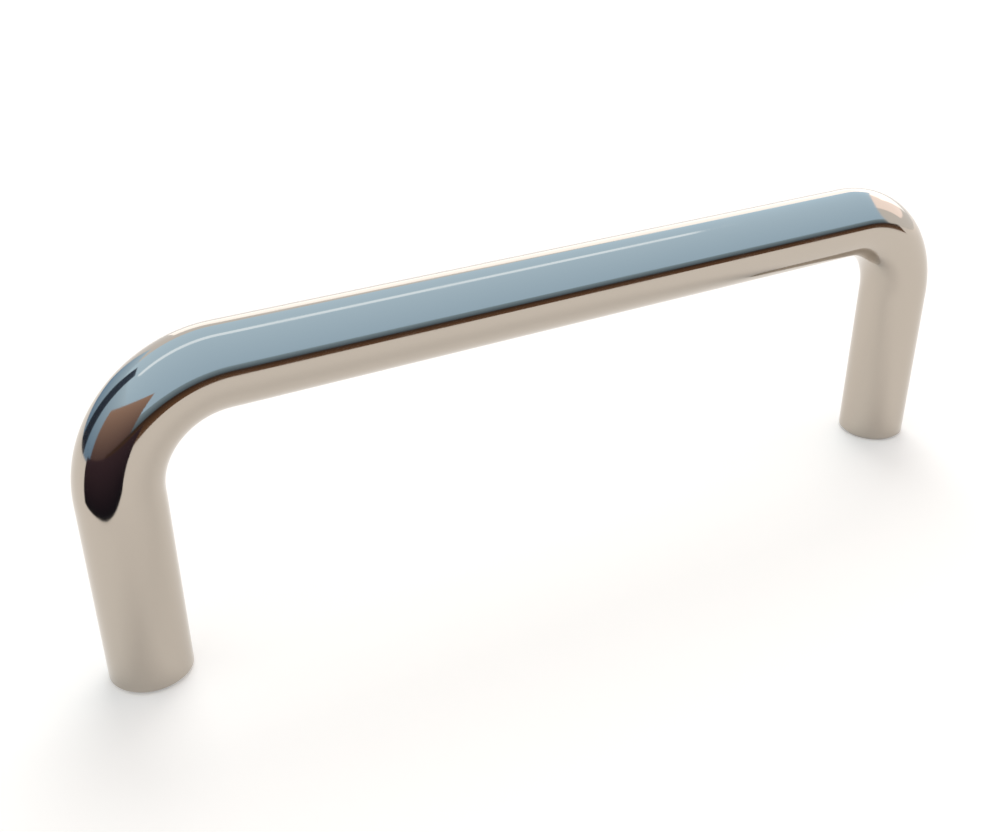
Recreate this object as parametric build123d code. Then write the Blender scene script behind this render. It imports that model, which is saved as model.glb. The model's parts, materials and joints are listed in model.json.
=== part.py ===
"""Bridge pull handle, bent in one piece from solid round stainless steel bar.

The origin is midway between the two feet, on the surface that the handle is
screwed to. +X runs along the grip, +Y across it, and +Z points away from that
surface. Every size is in millimetres.
"""

import os
from math import radians, tan

from build123d import *

# The bar and its bends
bar_diameter = 10.0
hole_spacing = 120.0  # centre to centre of the two feet
projection = 42.5  # from the mounting surface to the top of the grip
bend_radius = 13.0  # to the bar's centreline
foot_chamfer = 0.5  # all round the lower edge of each foot

# The blind M5 hole that is tapped into each foot
thread_diameter = 5.0
thread_pitch = 0.8
thread_length = 10.0  # full thread, from the foot's face
runout_pitches = 3.0  # plain wall past the full thread, where the tap's lead ends
drill_point_angle = 118.0
countersink_angle = 120.0
countersink_margin = 0.125  # by which its mouth is wider than the thread, on the radius

# Sizes that follow from those
bar_radius = bar_diameter / 2
grip_height = projection - bar_radius
tap_drill_radius = (thread_diameter - thread_pitch) / 2
drill_depth = thread_length + runout_pitches * thread_pitch
countersink_radius = thread_diameter / 2 + countersink_margin
overcut = 1.0  # how far a cutting tool starts outside the bar


def centreline():
    """The bar's centreline, up one leg, along the grip and down the other leg."""
    leg_x = hole_spacing / 2
    return FilletPolyline(
        (-leg_x, 0, 0),
        (-leg_x, 0, grip_height),
        (leg_x, 0, grip_height),
        (leg_x, 0, 0),
        radius=bend_radius,
    )


def bent_bar():
    """The round bar swept along its centreline, with both feet cut square."""
    path = centreline()
    foot_plane = Plane(origin=path @ 0, z_dir=path % 0)
    return sweep(foot_plane * Circle(bar_radius), path=path)


def break_foot_edges(bar):
    """Chamfer the sharp rim that the saw leaves round each foot."""
    foot_rims = bar.edges().group_by(Axis.Z)[0]
    return chamfer(foot_rims, length=foot_chamfer)


def tapping_tool():
    """What the drill and countersink take out of one foot, with its mouth at the origin."""
    sink_slope = tan(radians(countersink_angle / 2))
    sink_depth = (countersink_radius - tap_drill_radius) / sink_slope
    point_height = tap_drill_radius / tan(radians(drill_point_angle / 2))
    outline = Polyline(
        (0, -overcut),
        (countersink_radius + overcut * sink_slope, -overcut),
        (tap_drill_radius, sink_depth),
        (tap_drill_radius, drill_depth),
        (0, drill_depth + point_height),
        close=True,
    )
    return revolve(Plane.XZ * make_face(outline), axis=Axis.Z)


def pull_handle():
    """The finished handle: the bent bar with both feet drilled for tapping."""
    handle = break_foot_edges(bent_bar())
    for foot in GridLocations(hole_spacing, 0, 2, 1):
        handle -= foot * tapping_tool()
    return handle


os.makedirs("parts", exist_ok=True)
export_step(pull_handle(), "parts/pull_handle.step")
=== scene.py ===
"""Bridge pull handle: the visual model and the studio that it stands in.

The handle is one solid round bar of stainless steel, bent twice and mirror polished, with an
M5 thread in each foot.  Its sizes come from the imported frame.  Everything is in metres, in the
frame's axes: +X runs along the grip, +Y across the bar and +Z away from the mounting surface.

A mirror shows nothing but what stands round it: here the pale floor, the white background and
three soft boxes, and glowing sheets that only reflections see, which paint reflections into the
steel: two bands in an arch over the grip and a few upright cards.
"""

import json
import logging
import math
from dataclasses import dataclass
from typing import Any

import bpy
from mathutils import Matrix, Vector

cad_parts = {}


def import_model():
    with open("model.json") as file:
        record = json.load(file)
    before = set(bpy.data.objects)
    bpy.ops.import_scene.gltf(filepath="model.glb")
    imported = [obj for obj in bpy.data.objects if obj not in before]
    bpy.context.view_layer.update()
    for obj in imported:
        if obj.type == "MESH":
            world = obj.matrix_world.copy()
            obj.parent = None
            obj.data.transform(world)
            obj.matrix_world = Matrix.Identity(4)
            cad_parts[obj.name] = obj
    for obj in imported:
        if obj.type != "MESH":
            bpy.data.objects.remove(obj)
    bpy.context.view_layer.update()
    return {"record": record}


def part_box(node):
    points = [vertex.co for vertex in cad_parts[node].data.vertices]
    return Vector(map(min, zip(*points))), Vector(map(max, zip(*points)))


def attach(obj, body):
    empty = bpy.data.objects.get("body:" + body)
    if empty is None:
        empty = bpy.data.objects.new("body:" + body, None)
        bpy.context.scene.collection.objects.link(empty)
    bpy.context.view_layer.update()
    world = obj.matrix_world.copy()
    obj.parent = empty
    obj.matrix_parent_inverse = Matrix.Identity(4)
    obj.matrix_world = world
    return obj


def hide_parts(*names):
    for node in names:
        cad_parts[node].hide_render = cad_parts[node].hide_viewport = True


MM = 0.001
LOG = logging.getLogger("pull_handle")

HANDLE_NODE = "pull_handle"
HANDLE_BODY = "root"

STRAIGHT_BAR = "straight_bar"  # each point's place on the bar before it was bent
SHEET_ROW = "sheet_row"  # 0 at a studio sheet's first row and 1 at its last
CUT_FACE = "cut_face"  # true on the faces that a tool cut after polishing

MATH = "ShaderNodeMath"
VECTOR_MATH = "ShaderNodeVectorMath"
COMBINE = "ShaderNodeCombineXYZ"
SEPARATE = "ShaderNodeSeparateXYZ"
MAP_RANGE = "ShaderNodeMapRange"
NOISE = "ShaderNodeTexNoise"
MIX = "ShaderNodeMix"


# ---------------------------------------------------------------------------------------------
# Small tools
# ---------------------------------------------------------------------------------------------


def linear(hex_colour: str) -> tuple[float, float, float, float]:
    """Turns an sRGB hex colour into the linear colour that Blender works in.

    Args:
        hex_colour: the colour as "#RRGGBB".

    Returns:
        Linear red, green, blue and an alpha of 1.
    """
    channels = []
    for start in (1, 3, 5):
        value = int(hex_colour[start : start + 2], 16) / 255
        value = value / 12.92 if value <= 0.04045 else ((value + 0.055) / 1.055) ** 2.4
        channels.append(value)
    return (*channels, 1.0)


def add_node(
    tree: bpy.types.NodeTree,
    kind: str,
    inputs: dict[int | str, Any] | None = None,
    **settings: Any,
) -> bpy.types.Node:
    """Adds a node, sets its own properties and then fills its inputs.

    Args:
        tree: the tree that takes the node.
        kind: Blender's type name of the node.
        inputs: what each live input gets, by its name or its place.  A socket is linked, a node
            is linked by its first live output, and anything else is set as the value.
        settings: the node's own properties.

    Returns:
        The new node.
    """
    node = tree.nodes.new(kind)
    for name, value in settings.items():
        setattr(node, name, value)
    for key, value in (inputs or {}).items():
        live = [socket for socket in node.inputs if socket.enabled]
        socket = live[key] if isinstance(key, int) else next(s for s in live if s.name == key)
        if isinstance(value, bpy.types.Node):
            value = next(output for output in value.outputs if output.enabled)
        if isinstance(value, bpy.types.NodeSocket):
            tree.links.new(value, socket)
        else:
            socket.default_value = value
    return node


def new_tree(name: str, kind: str, inputs: dict[str, str], outputs: dict[str, str]) -> Any:
    """Makes an empty node group with named inputs and outputs.

    Args:
        name: the group's name.
        kind: "GeometryNodeTree" or "ShaderNodeTree".
        inputs: each input's name and socket type.
        outputs: each output's name and socket type.

    Returns:
        The node group.
    """
    tree = bpy.data.node_groups.new(name, kind)
    for in_out, sockets in (("INPUT", inputs), ("OUTPUT", outputs)):
        for socket_name, socket_type in sockets.items():
            tree.interface.new_socket(socket_name, in_out=in_out, socket_type=socket_type)
    return tree


def new_material(name: str) -> bpy.types.Material:
    """Makes a material with an empty node tree.

    Args:
        name: the material's name.

    Returns:
        The material.
    """
    material = bpy.data.materials.new(name)
    material.use_nodes = True
    material.node_tree.nodes.clear()
    return material


def link_object(name: str, data: Any) -> bpy.types.Object:
    """Makes an object of the data, at the origin, and puts it in the scene.

    Args:
        name: the object's name.
        data: its mesh, lamp or camera.

    Returns:
        The object.
    """
    made = bpy.data.objects.new(name, data)
    bpy.context.scene.collection.objects.link(made)
    return made


def seen_straight_or_mirrored(tree: bpy.types.NodeTree) -> bpy.types.Node:
    """Adds the test for a ray that shows a thing straight, in a mirror or through something.

    Args:
        tree: the tree that takes the test.

    Returns:
        The node with 1 for such a ray and 0 for any other.
    """
    light_path = add_node(tree, "ShaderNodeLightPath")
    seen = light_path.outputs["Is Camera Ray"]
    for way in ("Is Glossy Ray", "Is Transmission Ray"):
        seen = add_node(tree, MATH, {0: seen, 1: light_path.outputs[way]}, operation="MAXIMUM")
    return seen


def to_tenth(length: float) -> float:
    """Rounds a length in metres to a tenth of a millimetre, past what facets take off it."""
    return round(length / MM, 1) * MM


def pointing(bearing: float, height: float) -> Vector:
    """Turns a bearing and a height above the horizon into a direction.

    Args:
        bearing: 0 along +Y and 90 along +X, in degrees.
        height: 0 level and 90 overhead, in degrees.

    Returns:
        The direction, of length 1.
    """
    turn, rise = math.radians(bearing), math.radians(height)
    return Vector(
        (math.sin(turn) * math.cos(rise), math.cos(turn) * math.cos(rise), math.sin(rise))
    )


# ---------------------------------------------------------------------------------------------
# Finishes
# ---------------------------------------------------------------------------------------------


@dataclass(frozen=True)
class MirrorPolishedSteel:
    """Stainless steel bar, ground, then buffed to a mirror with a turning mop.

    It gives the eye a clear reflection of the room, a little warm, with three faults: the long
    soft waves that hand buffing leaves, faint slanting lines where the mop ran round the bar,
    and smears that dull it here and there.
    """

    colour: str = "#B8AFA4"
    mirror_roughness: float = 0.06
    smeared_roughness: float = 0.13
    smear_length: float = 9.0 * MM
    wave_length: float = 13.0 * MM
    wave_height: float = 0.012 * MM
    # Buffing lines are some 0.02 mm apart, too fine to show, so they are drawn 0.25 mm apart.
    line_spacing: float = 0.25 * MM
    line_length: float = 4.0 * MM
    line_height: float = 0.001 * MM
    line_twist: float = 0.286 / MM  # radians round the bar for each metre along it

    def material(self) -> bpy.types.Material:
        """Builds the material, on each point's place on the bar before it was bent.

        Returns:
            The material.
        """
        material = new_material("mirror polished stainless steel")
        tree = material.node_tree
        place = add_node(tree, "ShaderNodeAttribute", attribute_name=STRAIGHT_BAR)
        place = place.outputs["Vector"]
        smear = add_node(
            tree,
            NOISE,
            {"Vector": place, "Scale": 1 / self.smear_length, "Detail": 3.0},
        )
        roughness = add_node(
            tree,
            MAP_RANGE,
            {
                "Value": smear,
                "From Min": 0.4,
                "From Max": 0.7,
                "To Min": self.mirror_roughness,
                "To Max": self.smeared_roughness,
            },
        )
        wave = add_node(
            tree,
            NOISE,
            {"Vector": place, "Scale": 1 / self.wave_length, "Detail": 0.0},
        )
        waved = add_node(
            tree,
            "ShaderNodeBump",
            {"Strength": 1.0, "Distance": self.wave_height, "Height": wave},
        )
        along = add_node(tree, SEPARATE, {0: place}).outputs["Z"]
        twist = add_node(tree, MATH, {0: along, 1: self.line_twist}, operation="MULTIPLY")
        twisted = add_node(
            tree,
            "ShaderNodeVectorRotate",
            {"Vector": place, "Angle": twist},
            rotation_type="Z_AXIS",
        )
        stretched = add_node(
            tree,
            "ShaderNodeMapping",
            {"Vector": twisted, "Scale": (1.0, 1.0, self.line_spacing / self.line_length)},
        )
        line = add_node(
            tree,
            NOISE,
            {"Vector": stretched, "Scale": 1 / self.line_spacing, "Detail": 2.0},
        )
        lined = add_node(
            tree,
            "ShaderNodeBump",
            {"Strength": 1.0, "Distance": self.line_height, "Height": line, "Normal": waved},
        )
        steel = add_node(
            tree,
            "ShaderNodeBsdfPrincipled",
            {
                "Base Color": linear(self.colour),
                "Metallic": 1.0,
                "Roughness": roughness,
                "Normal": lined,
            },
        )
        add_node(tree, "ShaderNodeOutputMaterial", {"Surface": steel})
        return material


@dataclass(frozen=True)
class TurnedSteel:
    """Stainless steel as the lathe and the tap leave it, on the foot's face and in its hole.

    It gives the eye a greyer, softer shine, broken into fine rings round the hole.
    """

    leg_x: float
    colour: str = "#C4BFB9"
    ring_roughness: float = 0.34
    base_roughness: float = 0.24
    # The tool's feed is some 0.08 mm a turn, too fine to show, so rings are drawn 0.2 mm apart.
    ring_spacing: float = 0.2 * MM
    ring_height: float = 0.004 * MM

    def material(self) -> bpy.types.Material:
        """Builds the material, on the distance from the nearer leg's axis.

        Returns:
            The material.
        """
        material = new_material("turned stainless steel")
        tree = material.node_tree
        place = add_node(tree, "ShaderNodeTexCoord").outputs["Object"]
        from_middle = add_node(tree, VECTOR_MATH, {0: place}, operation="ABSOLUTE")
        from_axis = add_node(
            tree,
            VECTOR_MATH,
            {0: from_middle, 1: (self.leg_x, 0.0, 0.0)},
            operation="SUBTRACT",
        )
        flat = add_node(
            tree,
            VECTOR_MATH,
            {0: from_axis, 1: (1.0, 1.0, 0.0)},
            operation="MULTIPLY",
        )
        radius = add_node(tree, VECTOR_MATH, {0: flat}, operation="LENGTH").outputs["Value"]
        turns = add_node(tree, MATH, {0: radius, 1: self.ring_spacing}, operation="DIVIDE")
        groove = add_node(tree, MATH, {0: turns, 1: 1.0}, operation="PINGPONG")
        uneven = add_node(
            tree,
            NOISE,
            {"Vector": place, "Scale": 1 / self.ring_spacing, "Detail": 1.0},
        )
        roughness = add_node(
            tree,
            MAP_RANGE,
            {"Value": uneven, "To Min": self.base_roughness, "To Max": self.ring_roughness},
        )
        ringed = add_node(
            tree,
            "ShaderNodeBump",
            {"Strength": 1.0, "Distance": self.ring_height, "Height": groove},
        )
        steel = add_node(
            tree,
            "ShaderNodeBsdfPrincipled",
            {
                "Base Color": linear(self.colour),
                "Metallic": 1.0,
                "Roughness": roughness,
                "Normal": ringed,
            },
        )
        add_node(tree, "ShaderNodeOutputMaterial", {"Surface": steel})
        return material


@dataclass(frozen=True)
class PaleFloorPaint:
    """Matt pale paint on a board, rolled on.

    It gives the eye an even white ground that still takes a soft shadow.  It shines a little for
    the rays that see it straight, in the steel or through something, so that it reaches white
    without more light on the handle.  It is clear from below, so that the feet can be looked at.
    """

    colour: str = "#EDECE9"
    shine: float = 0.24

    def material(self) -> bpy.types.Material:
        """Builds the material.

        Returns:
            The material.
        """
        material = new_material("matt pale floor paint")
        tree = material.node_tree
        seen = seen_straight_or_mirrored(tree)
        strength = add_node(tree, MATH, {0: seen, 1: self.shine}, operation="MULTIPLY")
        paint = add_node(
            tree,
            "ShaderNodeBsdfDiffuse",
            {"Color": linear(self.colour)},
        )
        shine = add_node(
            tree,
            "ShaderNodeEmission",
            {"Color": linear("#FFFFFF"), "Strength": strength},
        )
        both = add_node(tree, "ShaderNodeAddShader", {0: paint, 1: shine})
        clear = add_node(tree, "ShaderNodeBsdfTransparent")
        below = add_node(tree, "ShaderNodeNewGeometry").outputs["Backfacing"]
        sided = add_node(tree, "ShaderNodeMixShader", {0: below, 1: both, 2: clear})
        add_node(tree, "ShaderNodeOutputMaterial", {"Surface": sided})
        return material


@dataclass(frozen=True)
class DyedCloth:
    """Glowing paint for a studio sheet that only reflections see: painted light, not a lit surface.

    It paints into the steel a reflection of one plain tone, or a soft fade from the first row to the
    last.
    """

    name: str
    first_colour: str
    last_colour: str
    glow: float = 1.0  # above 1 paints a reflection brighter than white

    def material(self) -> bpy.types.Material:
        """Builds the material, on how far each row is from the first.

        Returns:
            The material.
        """
        material = new_material(self.name)
        tree = material.node_tree
        row = add_node(tree, "ShaderNodeAttribute", attribute_name=SHEET_ROW)
        colour = add_node(
            tree,
            MIX,
            {
                "Factor": row.outputs["Fac"],
                "A": linear(self.first_colour),
                "B": linear(self.last_colour),
            },
            data_type="RGBA",
        )
        cloth = add_node(tree, "ShaderNodeEmission", {"Color": colour, "Strength": self.glow})
        add_node(tree, "ShaderNodeOutputMaterial", {"Surface": cloth})
        material.cycles.emission_sampling = "NONE"
        return material


# ---------------------------------------------------------------------------------------------
# The handle
# ---------------------------------------------------------------------------------------------


@dataclass
class TappedFoot:
    """The end of a leg: its broken edge, its face, and the countersunk, tapped, blind hole.

    The hole's wall is worked out as a radius for each depth and turn: the wider of countersink
    and thread, closed by the drill's point.
    """

    bar_radius: float
    drill_radius: float
    segments: int
    chamfer: float = 0.5 * MM
    thread_radius: float = 2.5 * MM
    thread_pitch: float = 0.8 * MM
    thread_length: float = 10.0 * MM
    runout_pitches: float = 3.0
    flank_angle: float = math.radians(30)
    countersink_radius: float = 2.625 * MM
    countersink_angle: float = math.radians(60)
    point_angle: float = math.radians(59)
    steps_per_pitch: int = 8

    @property
    def drill_depth(self) -> float:
        """How deep the drill's full width goes, past the thread's end."""
        return self.thread_length + self.runout_pitches * self.thread_pitch

    @property
    def hole_depth(self) -> float:
        """How deep the tip of the drill's point goes."""
        return self.drill_depth + self.drill_radius / math.tan(self.point_angle)

    @property
    def rings(self) -> int:
        """How many rings of points go down the foot: edge, face, then the hole's wall."""
        return 3 + math.ceil(self.hole_depth / self.thread_pitch * self.steps_per_pitch)

    def sizes(self) -> dict[str, float]:
        """The sizes by the names of the node group's inputs."""
        return {
            "Bar Radius": self.bar_radius,
            "Foot Chamfer": self.chamfer,
            "Drill Radius": self.drill_radius,
            "Drill Depth": self.drill_depth,
            "Hole Depth": self.hole_depth,
            "Thread Radius": self.thread_radius,
            "Thread Pitch": self.thread_pitch,
            "Thread Length": self.thread_length,
            "Countersink Radius": self.countersink_radius,
        }

    def group(self) -> bpy.types.NodeTree:
        """Builds the node group that makes one foot, with its hole on the Z axis.

        Returns:
            A geometry node group whose inputs are the foot's sizes.
        """
        tree = new_tree(
            "tapped foot",
            "GeometryNodeTree",
            {name: "NodeSocketFloat" for name in self.sizes()},
            {"Foot": "NodeSocketGeometry"},
        )
        given = add_node(tree, "NodeGroupInput").outputs
        last_ring = self.rings - 1
        grid = add_node(
            tree,
            "GeometryNodeMeshGrid",
            {"Vertices X": self.rings, "Vertices Y": self.segments + 1},
        )
        spread = add_node(tree, SEPARATE, {0: grid.outputs["UV Map"]}).outputs
        turn = spread["Y"]
        ring = add_node(tree, MATH, {0: spread["X"], 1: float(last_ring)}, operation="MULTIPLY")
        ring = add_node(tree, MATH, {0: ring}, operation="ROUND")
        depth = add_node(
            tree,
            MAP_RANGE,
            {
                "Value": ring,
                "From Min": 2.0,
                "From Max": float(last_ring),
                "To Min": 0.0,
                "To Max": given["Hole Depth"],
            },
        )
        radius = self._hole_radius(tree, given, depth, turn)
        cut_back = add_node(tree, MATH, {0: ring, 1: given["Foot Chamfer"]}, operation="MULTIPLY")
        outside = add_node(
            tree,
            MATH,
            {0: given["Bar Radius"], 1: cut_back},
            operation="SUBTRACT",
        )
        in_hole = add_node(tree, MATH, {0: ring, 1: 1.5}, operation="GREATER_THAN")
        radius = add_node(tree, MIX, {"Factor": in_hole, "A": outside, "B": radius})
        lift = add_node(
            tree,
            MAP_RANGE,
            {
                "Value": ring,
                "From Min": 0.0,
                "From Max": 1.0,
                "To Min": given["Foot Chamfer"],
                "To Max": 0.0,
            },
        )
        height = add_node(tree, MATH, {0: depth, 1: lift}, operation="ADD")
        angle = add_node(tree, MATH, {0: turn, 1: math.tau}, operation="MULTIPLY")
        sides = [
            add_node(
                tree,
                MATH,
                {0: radius, 1: add_node(tree, MATH, {0: angle}, operation=wave)},
                operation="MULTIPLY",
            )
            for wave in ("COSINE", "SINE")
        ]
        place = add_node(tree, COMBINE, {"X": sides[0], "Y": sides[1], "Z": height})
        shaped = add_node(
            tree,
            "GeometryNodeSetPosition",
            {"Geometry": grid, "Position": place},
        )
        cut = add_node(tree, MATH, {0: ring, 1: 1.0}, operation="GREATER_THAN")
        marked = add_node(
            tree,
            "GeometryNodeStoreNamedAttribute",
            {"Geometry": shaped, "Name": CUT_FACE, "Value": cut},
            data_type="FLOAT",
            domain="FACE",
        )
        placed = add_node(
            tree,
            "GeometryNodeStoreNamedAttribute",
            {
                "Geometry": marked,
                "Name": STRAIGHT_BAR,
                "Value": add_node(tree, "GeometryNodeInputPosition"),
            },
            data_type="FLOAT_VECTOR",
            domain="POINT",
        )
        add_node(tree, "NodeGroupOutput", {"Foot": placed})
        return tree

    def _hole_radius(self, tree: Any, given: Any, depth: Any, turn: Any) -> bpy.types.Node:
        """Works out the hole's radius at a depth and a turn.

        Args:
            tree: the foot's node group.
            given: the group's input sockets.
            depth: how far below the foot's face.
            turn: how far round, from 0 to 1.

        Returns:
            The node with the radius.
        """
        rise = 1 / math.tan(self.flank_angle)
        turns_deep = add_node(
            tree,
            MATH,
            {0: depth, 1: given["Thread Pitch"]},
            operation="DIVIDE",
        )
        off_turn = add_node(tree, MATH, {0: turns_deep, 1: turn}, operation="SUBTRACT")
        from_root = add_node(tree, MATH, {0: off_turn, 1: 0.5, 2: -0.5}, operation="WRAP")
        from_root = add_node(tree, MATH, {0: from_root}, operation="ABSOLUTE")
        # The root is flat over an eighth of the pitch, half of it on each side.
        past_flat = add_node(tree, MATH, {0: from_root, 1: 1 / 16}, operation="SUBTRACT")
        past_flat = add_node(
            tree,
            MATH,
            {0: past_flat, 1: given["Thread Pitch"]},
            operation="MULTIPLY",
        )
        drop = add_node(tree, MATH, {0: past_flat, 1: rise}, operation="MULTIPLY")
        flank = add_node(tree, MATH, {0: given["Thread Radius"], 1: drop}, operation="SUBTRACT")
        groove = add_node(
            tree,
            "ShaderNodeClamp",
            {"Value": flank, "Min": given["Drill Radius"], "Max": given["Thread Radius"]},
        )
        thread_end = add_node(
            tree,
            MATH,
            {0: given["Thread Length"], 1: given["Thread Pitch"]},
            operation="ADD",
        )
        runout = add_node(
            tree,
            MAP_RANGE,
            {
                "Value": depth,
                "From Min": given["Thread Length"],
                "From Max": thread_end,
            },
            interpolation_type="SMOOTHSTEP",
        )
        thread = add_node(
            tree,
            MIX,
            {"Factor": runout, "A": groove, "B": given["Drill Radius"]},
        )
        slope = math.tan(self.countersink_angle)
        narrowing = add_node(tree, MATH, {0: depth, 1: slope}, operation="MULTIPLY")
        countersink = add_node(
            tree,
            MATH,
            {0: given["Countersink Radius"], 1: narrowing},
            operation="SUBTRACT",
        )
        wall = add_node(tree, MATH, {0: thread, 1: countersink}, operation="MAXIMUM")
        to_tip = add_node(tree, MATH, {0: given["Hole Depth"], 1: depth}, operation="SUBTRACT")
        point = add_node(
            tree,
            MATH,
            {0: to_tip, 1: math.tan(self.point_angle)},
            operation="MULTIPLY",
        )
        return add_node(tree, MATH, {0: wall, 1: point}, operation="MINIMUM")


@dataclass
class PullHandle:
    """The whole handle: a round bar swept along a path with two bends, and its two feet."""

    hole_spacing: float
    height: float
    foot: TappedFoot
    bend_radius: float = 13.0 * MM
    ring_spacing: float = 0.5 * MM
    bend_steps: int = 256
    sharpest_smooth_edge: float = math.radians(30)
    merge_distance: float = 0.001 * MM

    @classmethod
    def from_frame(cls, record: dict[str, Any]) -> "PullHandle":
        """Takes the handle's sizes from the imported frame.

        Args:
            record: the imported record.

        Returns:
            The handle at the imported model's sizes.
        """
        low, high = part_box(HANDLE_NODE)
        holes = next(m["dims"] for m in record["mounts"] if m["kind"] == "bolt_pattern")
        foot = TappedFoot(
            bar_radius=to_tenth(high.y - low.y) / 2,
            drill_radius=holes["hole_r_mm"] * MM,
            segments=128,
        )
        return cls(
            hole_spacing=holes["spacing_x_mm"] * MM,
            height=to_tenth(high.z - low.z),
            foot=foot,
        )

    @property
    def leg_x(self) -> float:
        """How far each leg's axis is from the middle."""
        return self.hole_spacing / 2

    def tree(self) -> bpy.types.NodeTree:
        """Builds the geometry node tree of the handle.

        Returns:
            The tree, whose inputs are the handle's sizes and its two finishes.
        """
        sizes = {name: "NodeSocketFloat" for name in self.sizes()}
        finishes = {"Polished": "NodeSocketMaterial", "Turned": "NodeSocketMaterial"}
        tree = new_tree(
            "bent bar handle",
            "GeometryNodeTree",
            {**sizes, **finishes},
            {"Handle": "NodeSocketGeometry"},
        )
        given = add_node(tree, "NodeGroupInput").outputs
        bar = self._bar(tree, given)
        feet = self._feet(tree, given)
        joined = tree.nodes.new("GeometryNodeJoinGeometry")
        for part in (bar, feet):
            tree.links.new(part.outputs[0], joined.inputs[0])
        real = add_node(tree, "GeometryNodeRealizeInstances", {0: joined})
        merged = add_node(
            tree,
            "GeometryNodeMergeByDistance",
            {"Geometry": real, "Distance": self.merge_distance},
        )
        smooth = add_node(tree, "GeometryNodeSetShadeSmooth", {"Geometry": merged}, domain="FACE")
        edge_angle = add_node(tree, "GeometryNodeInputMeshEdgeAngle").outputs["Unsigned Angle"]
        round_edge = add_node(
            tree,
            "FunctionNodeCompare",
            {"A": edge_angle, "B": self.sharpest_smooth_edge},
            data_type="FLOAT",
            operation="LESS_THAN",
        )
        edged = add_node(
            tree,
            "GeometryNodeSetShadeSmooth",
            {"Geometry": smooth, "Shade Smooth": round_edge},
            domain="EDGE",
        )
        polished = add_node(
            tree,
            "GeometryNodeSetMaterial",
            {"Geometry": edged, "Material": given["Polished"]},
        )
        cut = add_node(
            tree,
            "GeometryNodeInputNamedAttribute",
            {"Name": CUT_FACE},
            data_type="FLOAT",
        )
        is_cut = add_node(
            tree,
            "FunctionNodeCompare",
            {"A": cut, "B": 0.25},
            data_type="FLOAT",
            operation="GREATER_THAN",
        )
        turned = add_node(
            tree,
            "GeometryNodeSetMaterial",
            {"Geometry": polished, "Selection": is_cut, "Material": given["Turned"]},
        )
        add_node(tree, "NodeGroupOutput", {"Handle": turned})
        return tree

    def sizes(self) -> dict[str, float]:
        """The sizes by the names of the tree's inputs."""
        return {
            "Leg X": self.leg_x,
            "Grip Height": self.height - self.foot.bar_radius,
            "Bend Radius": self.bend_radius,
            "Ring Spacing": self.ring_spacing,
            **self.foot.sizes(),
        }

    def _bar(self, tree: bpy.types.NodeTree, given: Any) -> bpy.types.Node:
        """Sweeps a circle along the path from foot to foot.

        Args:
            tree: the handle's tree.
            given: the tree's input sockets.

        Returns:
            The node with the open-ended bar.
        """
        line = add_node(tree, "GeometryNodeMeshLine", {"Count": 4})
        left = add_node(tree, MATH, {0: given["Leg X"], 1: -1.0}, operation="MULTIPLY")
        corners = add_node(tree, "GeometryNodeIndexSwitch", data_type="VECTOR")
        for _ in range(2):
            corners.index_switch_items.new()
        index = add_node(tree, "GeometryNodeInputIndex")
        tree.links.new(index.outputs[0], corners.inputs["Index"])
        places = (
            (left, given["Foot Chamfer"]),
            (left, given["Grip Height"]),
            (given["Leg X"], given["Grip Height"]),
            (given["Leg X"], given["Foot Chamfer"]),
        )
        for number, (x, z) in enumerate(places):
            corner = add_node(tree, COMBINE, {"X": x, "Z": z})
            tree.links.new(corner.outputs[0], corners.inputs[str(number)])
        placed = add_node(
            tree,
            "GeometryNodeSetPosition",
            {"Geometry": line, "Position": corners},
        )
        path = add_node(tree, "GeometryNodeMeshToCurve", {0: placed})
        bent = add_node(
            tree,
            "GeometryNodeFilletCurve",
            {"Curve": path, "Count": self.bend_steps, "Radius": given["Bend Radius"]},
            mode="POLY",
        )
        even = add_node(
            tree,
            "GeometryNodeResampleCurve",
            {"Curve": bent, "Length": given["Ring Spacing"]},
            mode="LENGTH",
        )
        level = add_node(
            tree,
            "GeometryNodeSetCurveNormal",
            {"Curve": even, "Normal": (0.0, 1.0, 0.0)},
            mode="FREE",
        )
        circle = add_node(
            tree,
            "GeometryNodeCurvePrimitiveCircle",
            {"Resolution": self.foot.segments, "Radius": given["Bar Radius"]},
        )
        along = add_node(tree, "GeometryNodeCaptureAttribute", domain="POINT")
        along.capture_items.new("FLOAT", "Along")
        tree.links.new(level.outputs[0], along.inputs["Geometry"])
        length = add_node(tree, "GeometryNodeSplineParameter").outputs["Length"]
        tree.links.new(length, along.inputs["Along"])
        around = add_node(tree, "GeometryNodeCaptureAttribute", domain="POINT")
        around.capture_items.new("VECTOR", "Around")
        tree.links.new(circle.outputs["Curve"], around.inputs["Geometry"])
        position = add_node(tree, "GeometryNodeInputPosition")
        tree.links.new(position.outputs[0], around.inputs["Around"])
        swept = add_node(
            tree,
            "GeometryNodeCurveToMesh",
            {"Curve": along.outputs["Geometry"], "Profile Curve": around.outputs["Geometry"]},
        )
        lengthwise = add_node(tree, COMBINE, {"Z": along.outputs["Along"]})
        straight = add_node(
            tree,
            VECTOR_MATH,
            {0: around.outputs["Around"], 1: lengthwise},
            operation="ADD",
        )
        return add_node(
            tree,
            "GeometryNodeStoreNamedAttribute",
            {"Geometry": swept, "Name": STRAIGHT_BAR, "Value": straight},
            data_type="FLOAT_VECTOR",
            domain="POINT",
        )

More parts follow.
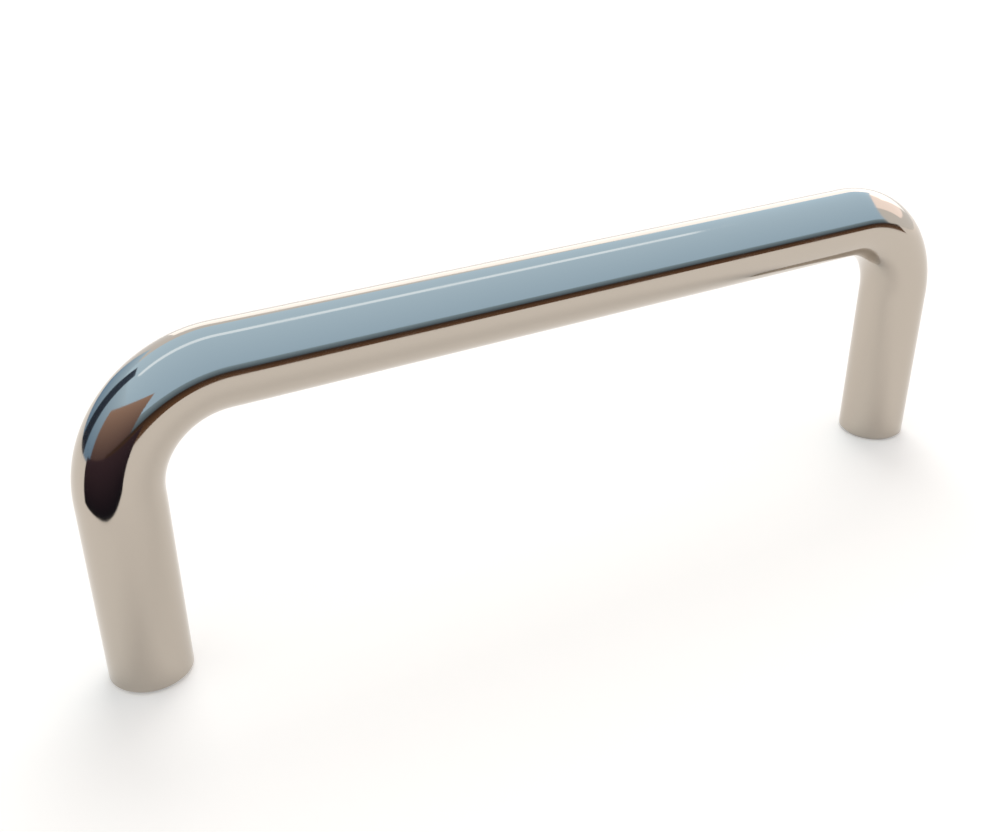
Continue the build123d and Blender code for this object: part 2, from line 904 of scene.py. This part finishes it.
    def _feet(self, tree: bpy.types.NodeTree, given: Any) -> bpy.types.Node:
        """Sets the foot down at both ends of the path.

        Args:
            tree: the handle's tree.
            given: the tree's input sockets.

        Returns:
            The node with the two feet as instances.
        """
        foot = add_node(
            tree,
            "GeometryNodeGroup",
            {name: given[name] for name in self.foot.sizes()},
            node_tree=self.foot.group(),
        )
        left = add_node(tree, MATH, {0: given["Leg X"], 1: -1.0}, operation="MULTIPLY")
        apart = add_node(tree, MATH, {0: given["Leg X"], 1: 2.0}, operation="MULTIPLY")
        ends = add_node(
            tree,
            "GeometryNodeMeshLine",
            {
                "Count": 2,
                "Start Location": add_node(tree, COMBINE, {"X": left}),
                "Offset": add_node(tree, COMBINE, {"X": apart}),
            },
        )
        return add_node(
            tree,
            "GeometryNodeInstanceOnPoints",
            {"Points": ends, "Instance": foot},
        )

    def build(self) -> bpy.types.Object:
        """Makes the handle's mesh, dresses it and fixes it to its body.

        Returns:
            The finished piece.
        """
        tree = self.tree()
        values: dict[str, Any] = {
            **self.sizes(),
            "Polished": MirrorPolishedSteel().material(),
            "Turned": TurnedSteel(leg_x=self.leg_x).material(),
        }
        blank = link_object("handle_blank", bpy.data.meshes.new("handle_blank"))
        modifier = blank.modifiers.new("bent bar handle", "NODES")
        modifier.node_group = tree
        for item in tree.interface.items_tree:
            if item.in_out == "INPUT":
                modifier[item.identifier] = values[item.name]
        depsgraph = bpy.context.evaluated_depsgraph_get()
        mesh = bpy.data.meshes.new_from_object(blank.evaluated_get(depsgraph))
        bpy.data.objects.remove(blank)
        mesh.name = "polished_handle"
        piece = link_object("polished_handle", mesh)
        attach(piece, HANDLE_BODY)
        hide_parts(HANDLE_NODE)
        return piece


# ---------------------------------------------------------------------------------------------
# The studio
# ---------------------------------------------------------------------------------------------


@dataclass
class Floor:
    """The pale board that the handle stands on."""

    half_width: float = 6.0
    gap: float = 0.02 * MM  # under the feet, so that the two faces never fight

    def build(self) -> bpy.types.Object:
        """Makes the floor, which every ray sees.

        Returns:
            The floor.
        """
        mesh = bpy.data.meshes.new("floor")
        w, z = self.half_width, -self.gap
        mesh.from_pydata([(-w, -w, z), (w, -w, z), (w, w, z), (-w, w, z)], [], [(0, 1, 2, 3)])
        mesh.materials.append(PaleFloorPaint().material())
        floor = link_object("floor", mesh)
        return floor


def only_reflected(thing: bpy.types.Object) -> None:
    """Leaves the thing to reflections, so that it takes no light off the handle or the floor.

    Args:
        thing: what only reflections are to see.
    """
    thing.visible_camera = False
    thing.visible_diffuse = False
    thing.visible_transmission = False
    thing.visible_shadow = False
    thing.visible_volume_scatter = False


def stage_sheet(rows: list[tuple[Vector, Vector]], cloth: DyedCloth) -> bpy.types.Object:
    """Makes a sheet of the studio from the two ends of each of its rows.

    Args:
        rows: the left and right end of each row, in order.
        cloth: the glowing paint that it shows, painted light that only reflections see.

    Returns:
        The sheet, seen by reflections alone.
    """
    points = [point for row in rows for point in row]
    faces = [(n, n + 1, n + 3, n + 2) for n in range(0, len(points) - 2, 2)]
    mesh = bpy.data.meshes.new(cloth.name)
    mesh.from_pydata(points, [], faces)
    place = mesh.attributes.new(SHEET_ROW, "FLOAT", "POINT")
    for n, value in enumerate(place.data):
        value.value = (n // 2) / (len(rows) - 1)
    mesh.materials.append(cloth.material())
    sheet = link_object(cloth.name, mesh)
    only_reflected(sheet)
    return sheet


@dataclass
class ArchedCloth:
    """A glowing sheet in an arch along the grip, from one angle round it to another, that paints
    reflections into the steel.
    """

    cloth: DyedCloth
    first: float  # in degrees: 0 is level behind the grip, 90 overhead and 180 level in front
    last: float
    radius: float = 1.0
    left_end: float = -3.0
    right_end: float = 1.5
    steps: int = 24

    def build(self, middle_z: float) -> bpy.types.Object:
        """Makes the glowing sheet.

        Args:
            middle_z: the height of the arch's axis.

        Returns:
            The cloth.
        """
        rows = []
        for step in range(self.steps + 1):
            angle = math.radians(self.first + (self.last - self.first) * step / self.steps)
            y, z = math.cos(angle) * self.radius, middle_z + math.sin(angle) * self.radius
            rows.append((Vector((self.left_end, y, z)), Vector((self.right_end, y, z))))
        return stage_sheet(rows, self.cloth)


@dataclass
class StandingCard:
    """An upright glowing card with its foot on the floor, square to the line from the near leg, that
    paints a reflection into the steel.
    """

    cloth: DyedCloth
    bearing: float  # in degrees, 0 along +Y and 90 along +X
    distance: float
    width: float
    height: float
    near_leg_x: float = -60.0 * MM

    def build(self) -> bpy.types.Object:
        """Makes the card.

        Returns:
            The card.
        """
        foot = pointing(self.bearing, 0.0) * self.distance + Vector((self.near_leg_x, 0.0, 0.0))
        side = pointing(self.bearing + 90.0, 0.0) * (self.width / 2)
        top = Vector((0.0, 0.0, self.height))
        rows = [(foot - side, foot + side), (foot - side + top, foot + side + top)]
        return stage_sheet(rows, self.cloth)


@dataclass
class SoftBox:
    """A flat soft box that faces the handle and that the steel shows as a bright panel."""

    name: str
    bearing: float  # bearing and height in degrees, as for pointing()
    height: float
    distance: float
    width: float
    length: float
    radiance: float  # 1 looks white
    colour: str = "#FFFFFF"

    def build(self, middle_z: float) -> bpy.types.Object:
        """Makes the lamp.

        Args:
            middle_z: the height of the point that it faces.

        Returns:
            The lamp.
        """
        data = bpy.data.lights.new(self.name, "AREA")
        data.shape = "RECTANGLE"
        data.size, data.size_y = self.width, self.length
        data.color = linear(self.colour)[:3]
        data.energy = self.radiance * math.pi * self.width * self.length
        lamp = link_object(self.name, data)
        towards = pointing(self.bearing, self.height)
        lamp.location = Vector((0.0, 0.0, middle_z)) + towards * self.distance
        lamp.rotation_euler = towards.to_track_quat("Z", "Y").to_euler()
        lamp.visible_camera = False
        return lamp


@dataclass
class SoftLamp:
    """A wide, far lamp: the same over the whole floor, with a broad soft shadow."""

    name: str
    bearing: float
    height: float
    level: float  # what it adds to a white surface that faces up
    spread: float

    def build(self) -> bpy.types.Object:
        """Makes the lamp, which reflections do not see.

        Returns:
            The lamp.
        """
        data = bpy.data.lights.new(self.name, "SUN")
        data.angle = math.radians(self.spread)
        data.energy = self.level * math.pi / math.sin(math.radians(self.height))
        lamp = link_object(self.name, data)
        towards = pointing(self.bearing, self.height)
        lamp.rotation_euler = towards.to_track_quat("Z", "Y").to_euler()
        lamp.visible_glossy = False
        return lamp


@dataclass
class RoomLight:
    """The even light from all round, and the white that shows behind everything."""

    level: float = 0.55
    colour: str = "#FFFFFF"

    def build(self) -> bpy.types.World:
        """Makes the world.

        Returns:
            The world, at its plain level for matt surfaces and white where it is seen.
        """
        world = bpy.data.worlds.new("room light")
        bpy.context.scene.world = world
        world.use_nodes = True
        tree = world.node_tree
        tree.nodes.clear()
        seen = seen_straight_or_mirrored(tree)
        plain = add_node(
            tree,
            "ShaderNodeBackground",
            {"Color": linear(self.colour), "Strength": self.level},
        )
        white = add_node(
            tree,
            "ShaderNodeBackground",
            {"Color": linear("#FFFFFF"), "Strength": 1.0},
        )
        both = add_node(tree, "ShaderNodeMixShader", {0: seen, 1: plain, 2: white})
        add_node(tree, "ShaderNodeOutputWorld", {"Surface": both})
        return world


@dataclass
class Viewpoint:
    """Where the camera stands: close, high on the left, as a hand holds it over the handle."""

    bearing: float = -150.0
    height: float = 28.0
    roll: float = -0.3
    distance: float = 151.5 * MM
    aim_x: float = -11.2 * MM
    lens_mm: float = 41.6
    sensor_mm: float = 36.0
    nearest: float = 5.0 * MM
    farthest: float = 100.0

    def build(self, middle_z: float) -> bpy.types.Object:
        """Makes the scene's camera.

        Args:
            middle_z: the height that the camera aims at.

        Returns:
            The camera.
        """
        back = pointing(self.bearing, self.height)
        aim = Vector((self.aim_x, 0.0, middle_z))
        data = bpy.data.cameras.new("viewpoint")
        data.lens = self.lens_mm
        data.sensor_width = self.sensor_mm
        data.sensor_fit = "HORIZONTAL"
        data.clip_start = self.nearest
        data.clip_end = self.farthest
        camera = link_object("viewpoint", data)
        turn = back.to_track_quat("Z", "Y").to_matrix().to_4x4()
        roll = Matrix.Rotation(math.radians(self.roll), 4, "Z")
        camera.matrix_world = Matrix.Translation(aim + back * self.distance) @ turn @ roll
        bpy.context.scene.camera = camera
        return camera


@dataclass
class Studio:
    """Everything that is not the handle."""

    lamps: tuple[SoftLamp, ...] = (
        SoftLamp("key_lamp", bearing=30.0, height=50.0, level=0.24, spread=35.0),
        SoftLamp("fill_lamp", bearing=-100.0, height=60.0, level=0.10, spread=60.0),
    )
    boxes: tuple[SoftBox, ...] = (
        # A white rim along the back of the grip.
        SoftBox(
            "rim_box",
            bearing=40.0,
            height=18.0,
            distance=1.8,
            width=2.8,
            length=0.8,
            radiance=0.9,
        ),
        # One bright line along the top of the grip.
        SoftBox(
            "strip_box",
            bearing=0.0,
            height=78.0,
            distance=0.9,
            width=1.4,
            length=0.12,
            radiance=0.6,
        ),
        # A faintly pink panel on the far bend.
        SoftBox(
            "side_box",
            bearing=80.0,
            height=35.0,
            distance=2.5,
            width=2.4,
            length=2.4,
            radiance=0.7,
            colour="#FFE0D8",
        ),
    )
    arches: tuple[ArchedCloth, ...] = (
        # Painted reflections: the sky blue upper half of the grip, and the dark line under it.
        ArchedCloth(
            DyedCloth("painted sky blue reflection arch", "#C0E0FA", "#A8C8E4", glow=1.5),
            first=40.0,
            last=165.0,
        ),
        # Painted reflection: the dark line under the sky blue, a glowing fade to near black.
        ArchedCloth(
            DyedCloth("painted dark reflection band", "#A0BCD0", "#202430"),
            first=165.0,
            last=182.0,
        ),
    )
    cards: tuple[StandingCard, ...] = (
        # Painted reflection: the dark tip of the tongue on the near bend.  For the rays that it stops,
        # it hides the floor.
        StandingCard(
            DyedCloth("painted black reflection card", "#181820", "#483840"),
            bearing=-125.0,
            distance=45.0 * MM,
            width=90.0 * MM,
            height=32.0 * MM,
        ),
        # Painted reflection: the warm top of that tongue.
        StandingCard(
            DyedCloth("painted brown reflection card", "#483840", "#C0A090"),
            bearing=-120.0,
            distance=300.0 * MM,
            width=400.0 * MM,
            height=240.0 * MM,
        ),
        # Painted reflection: the brown edge under the dark line.
        StandingCard(
            DyedCloth("painted brown edge reflection card", "#806048", "#403028"),
            bearing=180.0,
            distance=160.0 * MM,
            width=800.0 * MM,
            height=42.0 * MM,
        ),
        # Painted reflection: the blue left side of the near bend.
        StandingCard(
            DyedCloth("painted pale blue reflection card", "#7090B0", "#C0E0FA", glow=1.3),
            bearing=-70.0,
            distance=900.0 * MM,
            width=3000.0 * MM,
            height=900.0 * MM,
        ),
        # Painted reflection: the dark streak up that side.
        StandingCard(
            DyedCloth("painted dark streak reflection card", "#303848", "#506078"),
            bearing=-52.0,
            distance=800.0 * MM,
            width=300.0 * MM,
            height=1300.0 * MM,
        ),
    )

    def build(self, middle_z: float) -> None:
        """Makes the camera, the lights and the stage.

        Args:
            middle_z: the height of the middle of the handle.
        """
        scene = bpy.context.scene
        scene.view_settings.view_transform = "Standard"
        for thing in (Viewpoint().build(middle_z), RoomLight().build()):
            LOG.info("studio: %s", thing.name)
        for lamp in self.lamps:
            LOG.info("studio: %s", lamp.build().name)
        for box in self.boxes:
            LOG.info("studio: %s", box.build(middle_z).name)
        LOG.info("stage: %s", Floor().build().name)
        for arch in self.arches:
            LOG.info("stage: %s", arch.build(middle_z).name)
        for card in self.cards:
            LOG.info("stage: %s", card.build().name)


def corners(box: tuple[Vector, Vector]) -> list[list[float]]:
    """Turns a box's two corners into plain lists."""
    return [list(corner) for corner in box]


def main() -> None:
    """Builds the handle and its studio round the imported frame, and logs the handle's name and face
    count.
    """
    logging.basicConfig(level=logging.INFO, format="%(message)s")
    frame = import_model()
    handle = PullHandle.from_frame(frame["record"])
    Studio().build(middle_z=handle.height / 2)
    piece = handle.build()
    LOG.info("piece: %s, %d faces", piece.name, len(piece.data.polygons))
    bpy.context.view_layer.update()


if __name__ == "__main__":
    main()
